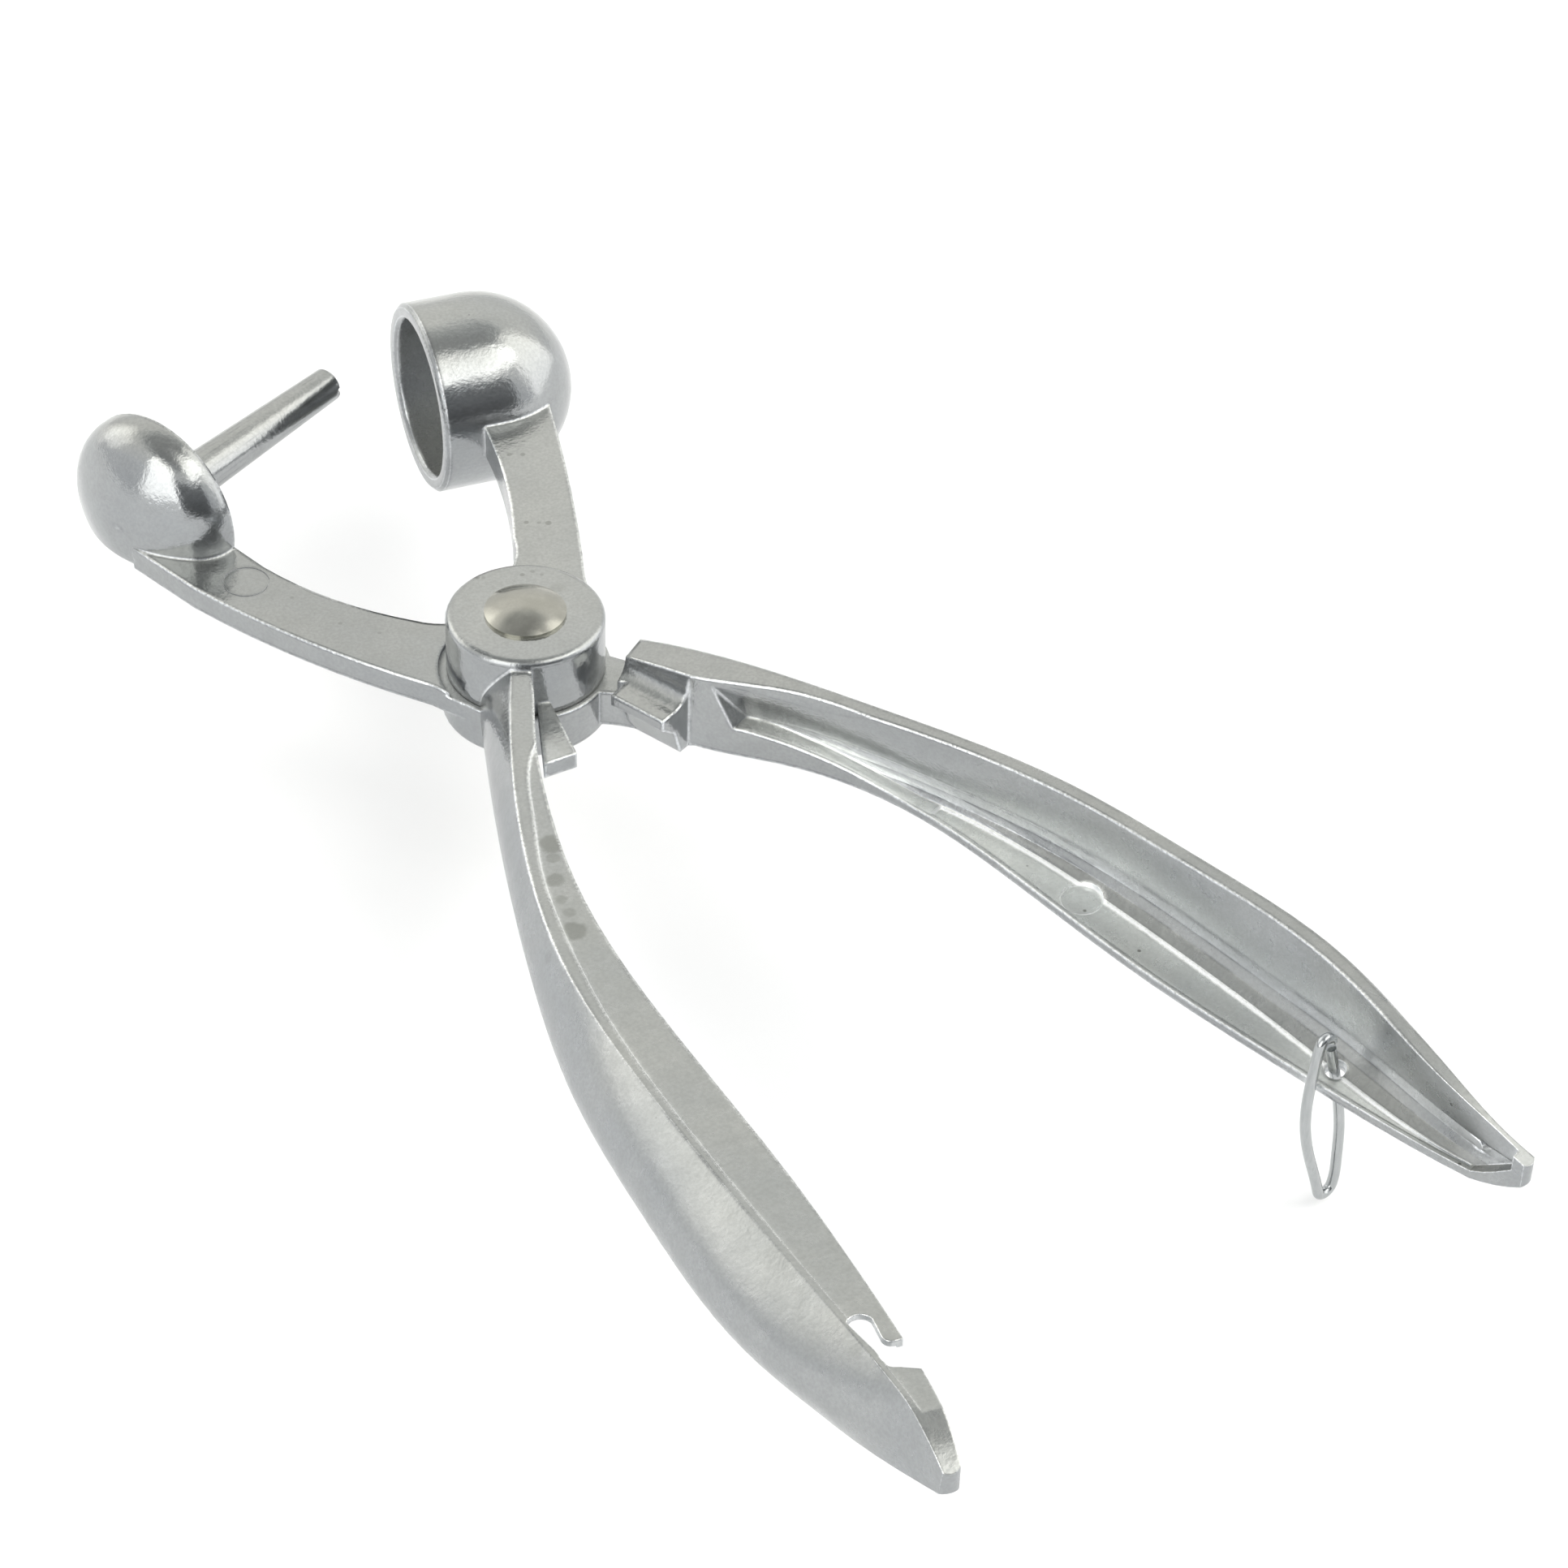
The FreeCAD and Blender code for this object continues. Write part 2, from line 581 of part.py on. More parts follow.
def plunger_lever():
    body = new_body("plunger_arm")
    handle(body, 1, PLUNGER_EDGE, value("plunger_tip"))
    neck = new_sketch(body, "NeckPlan", "XY_Plane", "split_level")
    outline(neck, [("-2", "0"), ("-2", "-neck_end - 0.9"), ("handle_swell", "-neck_end + 3.2"),
                   ("handle_swell", "0")])
    pocket(body, "Neck", neck, "handle_depth", reverse=True)
    ring_eye(body)
    block(body)
    heel(body)
    plunger_arm_plate(body)

    disc = new_sketch(body, "DiscProfile", "XZ_Plane")
    outline(disc, [("0", "0"), ("lower_radius - edge_round", "0"),
                   ("lower_radius", "edge_round", "edge_round"), ("lower_radius", "split_level"),
                   ("0", "split_level")])
    turn(body, "Revolution", "Disc", disc, "V_Axis")
    seat = new_sketch(body, "SeatProfile", "XZ_Plane")
    outline(seat, [("0", "split_level"), ("hub_radius + turn_gap", "split_level"),
                   ("hub_radius + turn_gap", "hub_height + 1"), ("0", "hub_height + 1")])
    turn(body, "Groove", "Seat", seat, "V_Axis")
    crescent = new_sketch(body, "CrescentPlan", "XY_Plane", "split_level")
    circle(crescent, "-0.85", "-0.3", "hub_radius + 0.6")
    pocket(body, "Crescent", crescent, "1", reverse=True)

    bore = new_sketch(body, "BoreProfile", "XZ_Plane")
    outline(bore, [("0", "-1"), (PIN_BORE, "-1"), (PIN_BORE, "cavity_floor"),
                   (CAVITY_RADIUS, "cavity_floor"), (CAVITY_RADIUS, "split_level + 1"),
                   ("0", "split_level + 1")])
    turn(body, "Groove", "Bore", bore, "V_Axis")
    leg_slot(body, "cavity_floor", "split_level", value("leg_heading") - value("open_angle"))
    head(body)
    body.Placement = Placement(Vector(), Rotation(Vector(0, 0, 1), 1))
    body.setExpression("Placement.Rotation.Angle", bound("open_angle"))
    return body


def plunger_arm_plate(body):
    arm = new_sketch(body, "ArmPlan", "XY_Plane", "plunger_arm_top - plunger_arm_height")
    outline(arm, [("-9.4", "-0.8"), ("-10.1", "5.5", "-60"), ("-14.1", "head_reach - 12.4", "-120"),
                  ("-dome_face - dome_depth * 0.97", "head_reach - 2"), ("-dome_face", "head_reach"),
                  ("-dome_face", "head_reach - dome_radius"), ("-6.2", "34"), ("-2.6", "14.2", "45"),
                  ("1.6", "9.4", "8")])
    pad(body, "Arm", arm, "plunger_arm_height")


# The dome's profile is an oval: a tight arc at the rim runs into a wide one over the top.
DOME_RISE = "(dome_depth - dome_lip)"
DOME_WIDE = ("((pow(%s; 2) + pow(dome_radius - dome_round; 2) - pow(dome_round; 2))"
             " / (2 * (%s - dome_round)))" % (DOME_RISE, DOME_RISE))
JOIN_BACK = ("(dome_face + dome_lip + (%s - %s) * dome_round / (%s - dome_round))"
             % (DOME_WIDE, DOME_RISE, DOME_WIDE))
JOIN_SIDE = "((dome_radius - dome_round) * %s / (%s - dome_round))" % (DOME_WIDE, DOME_WIDE)


def head(body):
    """A dome cut flat under the arm, with the tapered punch cast in its face."""
    lip_back = "-dome_face - dome_lip"
    dome = new_sketch(body, "DomeProfile", "XY_Plane", "axis_level", "head_reach")
    outline(dome, [("-dome_face", "0"), ("-dome_face", "dome_radius"), (lip_back, "dome_radius"),
                   ("-" + JOIN_BACK, JOIN_SIDE, "dome_round"),
                   ("-dome_face - dome_depth", "0", DOME_WIDE)])
    turn(body, "Revolution", "Dome", dome, "H_Axis")
    below = new_sketch(body, "BelowPlan", "XY_Plane", "plunger_arm_top - plunger_arm_height", "head_reach")
    outline(below, [("0", "-dome_radius - 1"), ("0", "dome_radius + 1"),
                    ("-dome_face - dome_depth - 1", "dome_radius + 1"),
                    ("-dome_face - dome_depth - 1", "-dome_radius - 1")])
    pocket(body, "Below", below, "dome_radius")

    punch = new_sketch(body, "PunchProfile", "XY_Plane", "axis_level", "head_reach")
    tip = "punch_length - dome_face"
    outline(punch, [("-dome_face - 1", "0"), ("-dome_face - 1", "punch_root + punch_fillet"),
                    ("-dome_face", "punch_root + punch_fillet"),
                    ("-dome_face + punch_fillet", "punch_root", "punch_fillet"),
                    (tip + " - tip_bevel", "punch_tip"), (tip, "punch_tip - tip_bevel"), (tip, "0")])
    turn(body, "Revolution", "Punch", punch, "H_Axis")
    slot = new_sketch(body, "TipSlotProfile", "XZ_Plane", "-head_reach - punch_tip - 1", "axis_level")
    outline(slot, [(tip + " - tip_slot_depth", "-tip_slot"), (tip + " + 1", "-tip_slot"),
                   (tip + " + 1", "tip_slot"), (tip + " - tip_slot_depth", "tip_slot")])
    pocket(body, "TipSlot", slot, "(punch_tip + 1) * 2", reverse=True)
    mark(body, "ArmMark", "-9.5", "33.8", "arm_mark", "plunger_arm_top")
    floor_level = "mid_level - handle_depth / 2 + web"
    flat = new_sketch(body, "MarkFlatPlan", "XY_Plane", floor_level + " + 3")
    circle(flat, "10.6", "-69.4", "floor_mark")
    pocket(body, "MarkFlat", flat, "3")
    mark(body, "FloorMark", "10.6", "-69.4", "floor_mark", floor_level)


def mark(body, name, x, y, radius, level):
    """The thin ring that an ejector pin leaves in the casting."""
    sketch = new_sketch(body, name + "Plan", "XY_Plane", level)
    circle(sketch, x, y, radius)
    circle(sketch, x, y, radius + " - mark_line")
    pocket(body, name, sketch, "mark_depth")


def block(body):
    """The stop block: a hollow step from the rim down to the edge that meets the lug."""
    top, foot = "mid_level + handle_depth / 2", "mid_level - handle_depth / 2"
    step = [("stop_gap", "lug_level"), ("2.4", "lug_level"),
            ("4.6", "lug_level + 2.2", "2.2"), ("5.2", top)]
    solid = new_sketch(body, "BlockProfile", "XZ_Plane", "block_start")
    outline(solid, step + [("7.0", top), ("7.8", "mid_level"), ("5.2", foot), ("3.4", foot),
                           ("2.4", "lug_level - 3.2"), ("stop_gap", "lug_level - 1.4")])
    pad(body, "Block", solid, "hollow_start - block_rib - block_start")
    above = new_sketch(body, "StepProfile", "XZ_Plane", "hub_radius")
    outline(above, step + [("5.2", top + " + 1"), ("-4", top + " + 1"), ("-4", "lug_level")])
    pocket(body, "BlockStep", above, "hollow_start - block_rib - hub_radius", reverse=True)


def heel(body):
    """The rim bends down towards the hub."""
    top = "mid_level + handle_depth / 2"
    sketch = new_sketch(body, "HeelProfile", "YZ_Plane")
    outline(sketch, [("-heel_run", top + " + 1"), ("-heel_run", top),
                     ("-heel_start", top + " - heel_drop",
                      "-(pow(heel_run - heel_start; 2) + pow(heel_drop; 2)) / (2 * heel_drop)"),
                     ("-heel_start", top + " + 1")])
    cut = pocket(body, "Heel", sketch, "handle_swell * 2")
    cut.Midplane = True


RING_STATION = "(handle_length - ring_from_tip)"


def ring_hole():
    """Centre of the hole for the ring, a margin out from the floor's free edge."""
    edge = rail(PLUNGER_EDGE, 1, value("plunger_tip"), value("edge_end"))
    near = edge.value(station(edge, value(RING_STATION)))
    return Vector(near.x + value("ring_margin"), -value(RING_STATION), 0)


def ring_eye(body):
    hole = new_sketch(body, "EyePlan", "XY_Plane", "mid_level - handle_depth / 2 - 1")
    centre = ring_hole()
    circle(hole, centre.x, "-" + RING_STATION, "ring_hole")
    pocket(body, "Eye", hole, "web + 2", reverse=True)


# ---------------------------------------------------------------- rivet, washer, spring, ring

HEAD_CURVE = "(pow(head_radius; 2) + pow(head_rise - head_lip; 2)) / (2 * (head_rise - head_lip))"


def rivet():
    body = new_body("pivot_rivet")
    profile = new_sketch(body, "RivetProfile", "XZ_Plane")
    seat = "-washer_height - face_gap / 2"
    outline(profile, [("0", seat + " - tail_rise"), ("tail_radius - tail_rise", seat + " - tail_rise"),
                      ("tail_radius", seat, "tail_rise"), ("pin_radius", seat),
                      ("pin_radius", "hub_height"), ("head_radius", "hub_height"),
                      ("head_radius", "hub_height + head_lip"),
                      ("0", "hub_height + head_rise", HEAD_CURVE)])
    turn(body, "Revolution", "Rivet", profile, "V_Axis")
    return body


def washer():
    body = new_body("rivet_washer")
    plan = new_sketch(body, "WasherPlan", "XY_Plane", "-washer_height - face_gap / 2")
    circle(plan, "0", "0", "washer_radius")
    circle(plan, "0", "0", PIN_BORE)
    pad(body, "Washer", plan, "washer_height")
    return body


def spring():
    """A torsion spring round the rivet, with a leg in a slot of each lever."""
    body = new_body("torsion_spring")
    wire = new_sketch(body, "WireProfile", "XZ_Plane")
    circle(wire, "spring_radius", SPRING_FOOT, "spring_wire / 2")
    coil = feature(body, "AdditiveHelix", "Coil", wire)
    coil.ReferenceAxis = (wire, ["V_Axis"])
    coil.Mode = 1
    coil.setExpression("Pitch", bound("spring_pitch"))
    coil.setExpression("Turns", bound("spring_turns"))
    for name, level in (("LowerLeg", SPRING_FOOT), ("UpperLeg", SPRING_TOP)):
        leg = new_sketch(body, name + "Profile", "YZ_Plane", "spring_radius")
        circle(leg, "0", level, "spring_wire / 2")
        pad(body, name, leg, "leg_reach - spring_radius")
    body.Placement = Placement(Vector(), Rotation(Vector(0, 0, 1), value("leg_heading")))
    return body


def lock_ring():
    """A bent wire loop through the floor of the plunger handle, hanging by its own weight."""
    body = new_body("lock_ring")
    line = through([Vector(x * value("ring_width"), y * value("ring_drop"), 0) for x, y in RING])
    path = new_sketch(body, "RingPath", "XZ_Plane")
    curves(path, [line])
    wire = new_sketch(body, "RingWire", "XY_Plane")
    circle(wire, "0", "0", "ring_wire / 2")
    wire.MapMode = "Deactivated"
    start, along = line.StartPoint, line.tangent(line.FirstParameter)[0]
    wire.Placement = Placement(Vector(start.x, 0, start.y),
                               Rotation(Vector(0, 0, 1), Vector(along.x, 0, along.y)))
    pipe = feature(body, "AdditivePipe", "Ring", wire)
    pipe.Spine = (path, [])
    outward = Rotation(Vector(0, 0, 1), value("ring_heading"))
    centre = ring_hole() + Vector(0, 0, value("mid_level - handle_depth / 2 + web / 2"))
    opened = Placement(Vector(), Rotation(Vector(0, 0, 1), value("open_angle")))
    body.Placement = opened * Placement(centre, outward)
    print("ring swing axis through", body.Placement.Base, "along",
          body.Placement.Rotation.multVec(Vector(0, -1, 0)))
    return body


def build():
    return [cup_lever(), plunger_lever(), rivet(), washer(), spring(), lock_ring()]


def check(bodies):
    doc.recompute()
    for item in doc.Objects:
        if "Invalid" in item.State or "Error" in item.State:
            raise RuntimeError("%s did not build: %s" % (item.Name, item.State))
    for body in bodies:
        if body.Shape.isNull() or not body.Shape.isValid():
            raise RuntimeError("%s has no valid shape" % body.Label)


def export(bodies):
    os.makedirs("parts", exist_ok=True)
    for body in bodies:
        body.Shape.exportStep("parts/%s.step" % body.Label)
        print("%-16s solids %d  volume %9.1f mm3  box %s" % (
            body.Label, len(body.Shape.Solids), body.Shape.Volume, body.Shape.BoundBox))


bodies = build()
check(bodies)
export(bodies)
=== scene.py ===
# %% [markdown]
# # A cast aluminium olive pitter
# Two aluminium levers turn on one rivet. One carries a round cup for the fruit, the other a
# half dome with a tapered punch. Their handles are hollow castings that bow outwards, and a
# bent wire ring hangs from one of them, to be hooked over the other when the tool is put away.
#
# The measured model comes in first and stays fixed. Everything here is in metres, with the
# pivot at the origin and +Z up through the rivet head.

# %% Load the measured model
import math

import bmesh
import bpy
from mathutils import Matrix, Vector


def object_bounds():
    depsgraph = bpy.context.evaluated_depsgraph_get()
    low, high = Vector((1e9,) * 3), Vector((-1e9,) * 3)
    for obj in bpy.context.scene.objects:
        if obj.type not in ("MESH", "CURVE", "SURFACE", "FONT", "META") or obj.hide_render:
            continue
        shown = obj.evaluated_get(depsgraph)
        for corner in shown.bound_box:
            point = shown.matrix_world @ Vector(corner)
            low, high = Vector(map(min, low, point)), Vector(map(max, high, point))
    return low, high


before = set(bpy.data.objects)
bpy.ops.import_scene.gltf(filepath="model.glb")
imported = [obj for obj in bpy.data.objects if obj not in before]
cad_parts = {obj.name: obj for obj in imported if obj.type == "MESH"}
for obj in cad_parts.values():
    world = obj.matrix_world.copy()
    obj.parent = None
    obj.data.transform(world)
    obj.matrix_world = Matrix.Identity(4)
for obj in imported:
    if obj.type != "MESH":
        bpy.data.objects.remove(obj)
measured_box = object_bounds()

scene = bpy.context.scene
print("nodes:", sorted(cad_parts))


# %% [markdown]
# ## A small kit for materials
# Each finish below is a set of nodes around one Principled shader. They could be added one by
# one, with a line for every wire, but then nobody can see what the finish is made of. So these
# helpers add a node, wire it up and set its inputs in one call, and a finish reads as a list of
# what it has.

# %% Helpers for node materials
def new_material(name):
    material = bpy.data.materials.new(name)
    material.use_nodes = True
    tree = material.node_tree
    shader = tree.nodes["Principled BSDF"]
    return material, tree, shader


def add(tree, kind, inputs=None, **settings):
    """Adds a node, sets its properties, then sets or links its inputs."""
    node = tree.nodes.new("ShaderNode" + kind)
    for key, value in settings.items():
        setattr(node, key, value)
    for key, value in (inputs or {}).items():
        socket = node.inputs[key]
        if isinstance(value, bpy.types.NodeSocket):
            tree.links.new(value, socket)
        else:
            socket.default_value = value
    return node


def math_node(tree, operation, a, b, **settings):
    node = add(tree, "Math", {0: a, 1: b}, operation=operation, **settings)
    return node.outputs[0]


def band(tree, factor, low, high, start, end):
    """A smooth ramp of a value from start to end while the factor goes from low to high."""
    node = add(tree, "MapRange", {0: factor, 1: low, 2: high, 3: start, 4: end})
    node.interpolation_type = "SMOOTHSTEP"
    return node.outputs[0]


def tint(tree, factor, colour_a, colour_b):
    """Colour a where the factor is 0 and colour b where it is 1."""
    node = add(tree, "Mix", {0: factor, 6: colour_a, 7: colour_b}, data_type="RGBA")
    return node.outputs[2]


def noise(tree, place, scale, detail=2.0, roughness=0.5):
    return add(tree, "TexNoise", {"Vector": place, "Scale": scale, "Detail": detail,
                                  "Roughness": roughness}).outputs["Fac"]


def axis_part(tree, vector, axis):
    """One number of a vector, with axis 0, 1 or 2 for x, y or z."""
    return add(tree, "SeparateXYZ", {0: vector}).outputs[axis]


def dress(node, finish):
    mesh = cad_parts[node].data
    mesh.materials.clear()
    mesh.materials.append(finish)


print("helpers ready")


# %% [markdown]
# ## The skin of the castings
# The two levers are finished like die castings that were tumbled until they are evenly bright.
# Their flats wave a little, so that a reflection in them is never straight. On top of that come
# small dents, a fine grain, and a few round pits.
#
# An image of such a surface would need the curved handles to be unwrapped first, with a seam
# somewhere. So every part of it is worked out in space, from the position of the point. Each
# layer bends the normal that the layer before it left.

# %% Waves, dents, grain and pits
WAVE_SCALE, DENT_SCALE = 170.0, 900.0        # how many to a metre


def skin_bump(tree, place, rounded, grain, pit):
    """The normal of the skin, from the long wave down to the pits."""
    wave = noise(tree, place, WAVE_SCALE, 1.0)
    dents = noise(tree, place, DENT_SCALE, 2.0)
    # height, strength, depth in metres, whether it goes inwards
    layers = ((wave, 0.26, 0.00045, False), (dents, 0.34, 0.0001, False),
              (grain, 0.50, 0.00004, False), (pit, 0.4, 0.00006, True))
    normal = rounded
    for height, strength, depth, sunk in layers:
        normal = add(tree, "Bump", {"Strength": strength, "Distance": depth, "Height": height,
                                    "Normal": normal}, invert=sunk).outputs[0]
    return normal


print("skin: a wave every", round(1000 / WAVE_SCALE, 1), "mm, a dent every",
      round(1000 / DENT_SCALE, 1), "mm")


# %% [markdown]
# ## Rubbed edges and painted edge light
# The edges are brighter than the faces, in short broken runs: partly wear, partly a painted
# highlight. A thin dark line of painted shade lies beside some of them. Bevelling every edge
# of a casting in the mesh would cost many triangles, and would change its measured shape. The
# Bevel node only turns the normal near an edge. Where that normal leaves the true one, there is
# an edge, and the further it leaves it, the closer and the sharper the edge is.

# %% Edges, worn and lined
RUN_SCALE = 140.0                            # how often the dark line breaks off, to a metre


def worn_and_painted_edges(tree, place, rounded, grain):
    """Wear and painted highlight at a point, and its share of the painted dark line beside it."""
    true = add(tree, "NewGeometry").outputs["True Normal"]
    match = add(tree, "VectorMath", {0: rounded, 1: true},
                operation="DOT_PRODUCT").outputs["Value"]
    near = band(tree, match, 0.88, 0.984, 1.0, 0.0)
    broken = band(tree, grain, 0.36, 0.58, 0.45, 1.0)
    wear_and_highlight = math_node(tree, "MULTIPLY", near, broken)
    beside = band(tree, match, 0.974, 0.9965, 1.0, 0.0)
    inner = math_node(tree, "SUBTRACT", beside, near, use_clamp=True)
    runs = band(tree, noise(tree, place, RUN_SCALE, 3.0), 0.44, 0.56, 0.15, 1.0)
    painted_dark_line = math_node(tree, "MULTIPLY", inner, runs)
    return wear_and_highlight, painted_dark_line


print("edge wear defined")


# %% [markdown]
# ## Pits, dull spots and dried drops
# Small round pits and dull spots lie all over a casting, at random. A Voronoi pattern gives one
# cell to each of them, and each cell's own random value says whether it has a spot at all.
#
# The stains, which look like dried drops, are few and lie in certain places: a row of six on the
# flat of one handle, and some small ones on the arms and the hub. So they are given as a list.

# %% Spots at random
def scattered_spots(tree, place, scale, share, inner, outer):
    """Round spots in a share of the cells, solid to the inner and gone at the outer radius."""
    cells = add(tree, "TexVoronoi", {"Vector": place, "Scale": scale, "Randomness": 1.0})
    pick = add(tree, "SeparateColor", {0: cells.outputs["Color"]}).outputs[0]
    chosen = math_node(tree, "GREATER_THAN", pick, 1.0 - share)
    disc = band(tree, cells.outputs["Distance"], inner, outer, 1.0, 0.0)
    return math_node(tree, "MULTIPLY", disc, chosen)


print("random spots defined")


# %% Stains in set places
# x and y in millimetres, radius in millimetres, how dark
WEB_STAINS = [(-9.1, -36.4, 1.5, 1.0), (-9.7, -38.6, 0.8, 0.7), (-10.6, -41.9, 1.1, 0.9),
              (-11.0, -45.0, 0.7, 0.6), (-10.9, -47.2, 0.8, 0.6), (-11.3, -50.0, 1.5, 1.0)]
CUP_ARM_DOTS = [(8.5, 31.6, 0.35, 0.8), (10.0, 31.1, 0.32, 0.8), (6.3, 18.7, 0.34, 0.9),
                (7.7, 18.2, 0.28, 0.6), (8.7, 17.8, 0.38, 0.9), (-3.2, 7.6, 0.30, 0.8),
                (-2.5, 7.4, 0.26, 0.6), (1.8, 6.5, 0.34, 0.8), (3.1, 6.7, 0.30, 0.6),
                (3.9, 5.8, 0.24, 0.6)]
PUNCH_ARM_DOTS = [(-17.9, 13.0, 0.28, 0.6), (-14.2, 9.9, 0.26, 0.5), (-21.8, 19.2, 0.26, 0.6)]
MM = 0.001
RAGGED = 0.7                                 # how uneven the outline is, as a share of the radius
FADE_FROM, FADE_TO = 1.0, 1.5                # where it fades, in radii of uneven distance


def dried_drops(tree, place, drops):
    """A soft stain at each place, right through the piece, with an uneven outline."""
    uneven = noise(tree, place, 800.0, 2.0)
    flat = add(tree, "VectorMath", {0: place, 1: (1, 1, 0)}, operation="MULTIPLY").outputs[0]
    total = None
    for x, y, radius, strength in drops:
        away = add(tree, "VectorMath", {0: flat, 1: (x * MM, y * MM, 0.0)},
                   operation="DISTANCE").outputs["Value"]
        warped = add(tree, "Math", {0: uneven, 1: RAGGED * radius * MM, 2: away},
                     operation="MULTIPLY_ADD").outputs[0]
        spot = band(tree, warped, FADE_FROM * radius * MM, FADE_TO * radius * MM, strength, 0.0)
        total = spot if total is None else math_node(tree, "MAXIMUM", total, spot)
    return total


print("stains:", len(WEB_STAINS), "on the web,", len(CUP_ARM_DOTS), "on the cup lever,",
      len(PUNCH_ARM_DOTS), "on the punch lever")


# %% [markdown]
# ## The colour of the aluminium
# The aluminium isn't one grey. It is a little warmer and lighter in clouds a finger wide,
# flecked, and darker in the low spots of its grain. The layers below are put one over the other:
# the metal, its flecks and grain, the spots and stains, the pits painted darker, the dark lines
# of painted shade, and the worn edges last, which also paint their highlights. A tone of painted
# light over all of them makes the flats warmer and the steep walls cooler, and sets how bright
# each is.
#
# The metal is set less than half as bright as real aluminium, so that the flats don't come out
# too bright in this tent. All of these colours were matched for this one light.

# %% Layers of colour
# Painted light by facing: steep walls are multiplied by this cooler tint, flat tops by each
# lever's painted flat light.
PAINTED_WALL_SHADE = (0.940, 0.953, 0.985, 1)


def skin_colour(tree, place, slope, grain, mottle, pit, wear_and_highlight, painted_dark_line, drops, painted_flat_light):
    cloud = noise(tree, place, 60.0, 3.0)
    dull = scattered_spots(tree, place, 210.0, 0.10, 0.10, 0.24)
    body = tint(tree, band(tree, cloud, 0.3, 0.7, 0.0, 1.0), (0.375, 0.385, 0.385, 1),
                (0.415, 0.42, 0.41, 1))
    # how much of the layer shows, and its colour
    layers = ((band(tree, mottle, 0.35, 0.70, 0.0, 0.30), (0.33, 0.335, 0.325, 1)),
              (band(tree, grain, 0.30, 0.70, 0.34, 0.0), (0.28, 0.285, 0.28, 1)),
              (math_node(tree, "MULTIPLY", dull, 0.30), (0.26, 0.265, 0.25, 1)),
              (math_node(tree, "MULTIPLY", dried_drops(tree, place, drops), 0.62),
               (0.20, 0.205, 0.19, 1)),
              (pit, (0.16, 0.16, 0.155, 1)),
              # painted shade: the dark line beside edges; the worn edges below also paint edge
              # highlights
              (math_node(tree, "MULTIPLY", painted_dark_line, 0.95), (0.11, 0.115, 0.12, 1)),
              (wear_and_highlight, (0.90, 0.91, 0.91, 1)))
    colour = body
    for share, layer in layers:
        colour = tint(tree, share, colour, layer)
    # Painted light: the colour is tinted by which way the surface faces.
    painted_facing_light = tint(tree, band(tree, slope, 0.45, 0.97, 0.0, 1.0), PAINTED_WALL_SHADE, painted_flat_light)
    return add(tree, "VectorMath", {0: colour, 1: painted_facing_light}, operation="MULTIPLY").outputs[0]


print("colour layers defined")


# %% [markdown]
# ## Painted light inside the hollow handles
# A hollow gets much of its light from wall to wall, and the dark base colour takes away more
# than half of it at each bounce. Without a lift, most walls inside the right handle have less
# than half the brightness of the flats. With a base colour near that of real aluminium they
# have about seven tenths. So the Ambient Occlusion node, which tells how much of the sky a
# point sees, raises the colour where a point sees less: that light is painted into the colour.
#
# Inside the handles the steep walls are raised most, the flat floor less, and the rounded
# corners between them are held back. These amounts also change along the tool. All of them
# were set for this light. They aren't physical, and in another light they may look
# wrong.

# %% Lift in the hollows
HANDLE_END = (-0.102, -0.094)                # y in metres, before the tips
HANDLE_START = (-0.030, -0.010)              # y in metres, near the hub


def painted_hollow_light(tree, open_sky, along, slope):
    """The painted light and shade that the colour is multiplied by, 1 in the open."""
    most = band(tree, along, *HANDLE_START, 1.75, 1.15)
    shallow = band(tree, open_sky, 0.35, 1.0, most, 1.0)
    deep = band(tree, open_sky, 0.06, 0.40, 1.12, 1.0)
    lift = math_node(tree, "MULTIPLY", shallow, deep)
    # Painted shade: the rounded corners between wall and floor get 0.66, where steep walls get
    # 1.62 and the floor 1.32.
    steep = band(tree, slope, 0.15, 0.45, 1.62, 0.66)
    level = band(tree, slope, 0.94, 0.99, 0.0, 0.66)
    turned = math_node(tree, "ADD", steep, level)
    # Painted shade near the tips: there these factors fall to 0.66 of themselves.
    at_tip = band(tree, along, *HANDLE_END, 0.66, 1.0)
    ended = math_node(tree, "MULTIPLY", turned, at_tip)
    closed_in = band(tree, open_sky, 0.60, 0.92, 1.0, 0.0)
    in_handle = band(tree, along, -0.026, -0.014, 1.0, 0.0)
    inside = math_node(tree, "MULTIPLY", closed_in, in_handle)
    hollow = add(tree, "Mix", {0: inside, 2: 1.0, 3: ended}).outputs[0]
    return math_node(tree, "MULTIPLY", lift, hollow)


print("lift defined, handles from y =", HANDLE_START[1], "to", HANDLE_END[0])


# %% [markdown]
# ## The sheen of the aluminium
# The heads are smooth and mirror the room as soft shapes. The handles are a little duller, and
# their hollows are dullest. A worn edge is smoother than the face beside it. The roughness is
# the sum of these.

# %% Roughness of the casting
def sheen(tree, open_sky, along, mottle, wear_and_highlight):
    satin = band(tree, mottle, 0.3, 0.7, 0.13, 0.19)
    worn = add(tree, "Mix", {0: wear_and_highlight, 2: satin, 3: 0.13}).outputs[0]
    sheltered = band(tree, open_sky, 0.10, 0.60, 0.26, 0.0)
    handle = band(tree, along, -0.050, -0.015, 0.13, 0.0)
    duller = math_node(tree, "ADD", sheltered, handle)
    return math_node(tree, "ADD", worn, duller)


print("sheen defined")


# %% [markdown]
# ## The finish of the two levers
# The finish brings the parts above together. Both levers have the same one, apart from their
# stains and the painted light on their flats, which is slightly darker on the punch lever. The
# Bevel node reaches less far near the tips, where a wall is hardly thicker than the full reach
# and its two edges would run into one.

# %% Cast aluminium
SKY_REACH = 0.022                            # metres, how far a point looks for walls


